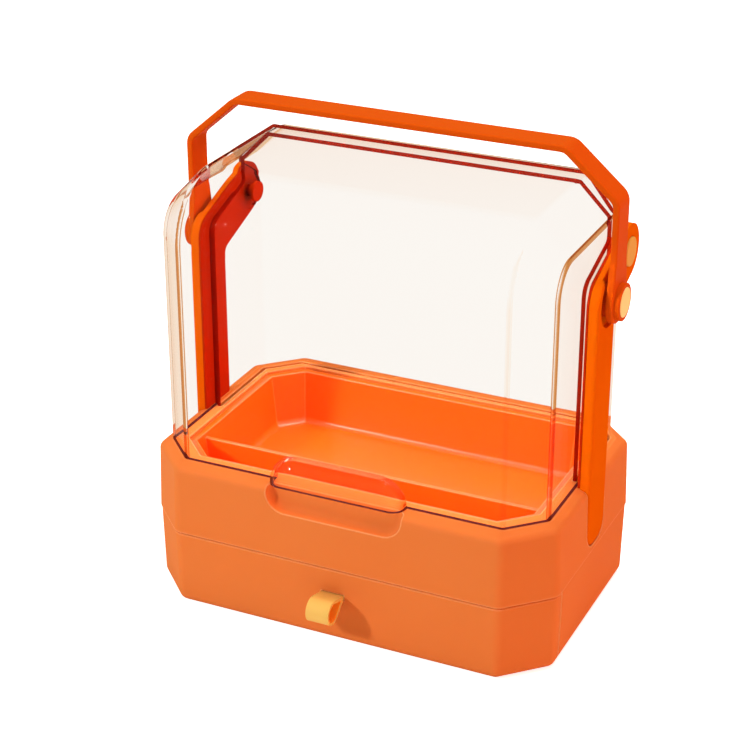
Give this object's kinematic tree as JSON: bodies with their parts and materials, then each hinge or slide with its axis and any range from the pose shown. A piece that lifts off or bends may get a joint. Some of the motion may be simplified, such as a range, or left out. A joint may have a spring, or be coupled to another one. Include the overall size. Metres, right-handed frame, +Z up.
{
  "type": "dustproof makeup organizer",
  "caption": "Lidded cosmetics box: an orange base with a front drawer and an inner tray, a hinged clear cover over a fixed clear back, and a carrying handle that folds back.",
  "frame": {"origin": "middle of the underside, on the surface that the box stands on", "axes": "+X to the right seen from the front, +Y from the drawer front towards the back, +Z up"},
  "size_m": [0.2772, 0.195, 0.295],
  "materials": {
    "orange_plastic": "satin",
    "dark_red_plastic": "satin",
    "clear_plastic": "clear gloss",
    "yellow_plastic": "gloss",
    "pale_plastic": "natural",
    "dark_plastic": "satin",
    "strap_leather": "smooth",
    "steel": "zinc plated",
    "rubber": "matte"
  },
  "bodies": {
    "base": {"lower_frame": "orange_plastic", "upper_shell": "orange_plastic", "middle_deck": "orange_plastic", "organizer_tray": "orange_plastic", "left_post": "orange_plastic", "right_post": "orange_plastic", "left_post_liner": "dark_red_plastic", "right_post_liner": "dark_red_plastic", "rear_cover": "clear_plastic", "left_lid_pin": "pale_plastic", "right_lid_pin": "pale_plastic", "left_lid_cap": "yellow_plastic", "right_lid_cap": "yellow_plastic", "left_handle_pin": "pale_plastic", "right_handle_pin": "pale_plastic", "left_handle_washer": "pale_plastic", "right_handle_washer": "pale_plastic", "pivot_screws": "steel", "post_screws": "steel", "frame_screws": "steel", "anti_slip_feet": "rubber"},
    "drawer_unit": {"drawer": "orange_plastic", "pull_strap": "strap_leather", "pull_strap_clip": "dark_plastic"},
    "cover": {"front_cover": "clear_plastic"},
    "carry_handle": {"handle": "orange_plastic", "left_handle_cap": "yellow_plastic", "right_handle_cap": "yellow_plastic"}
  },
  "joints": [
    {"name": "drawer_slide", "type": "slide", "parent": "base", "child": "drawer_unit", "axis": [0, -1, 0], "range_m": [0, 0.105]},
    {"name": "cover_open", "type": "hinge", "parent": "base", "child": "cover", "pos_m": [0, 0.0465, 0.22], "axis": [-1, 0, 0], "range_deg": [0, 82]},
    {"name": "handle_swing", "type": "hinge", "parent": "base", "child": "carry_handle", "pos_m": [0, 0.0063, 0.206], "axis": [-1, 0, 0], "range_deg": [0, 118.9]}
  ],
  "couplings": [
    {"joint": "handle_swing", "follows": "cover_open", "ratio": 1.45}
  ]
}
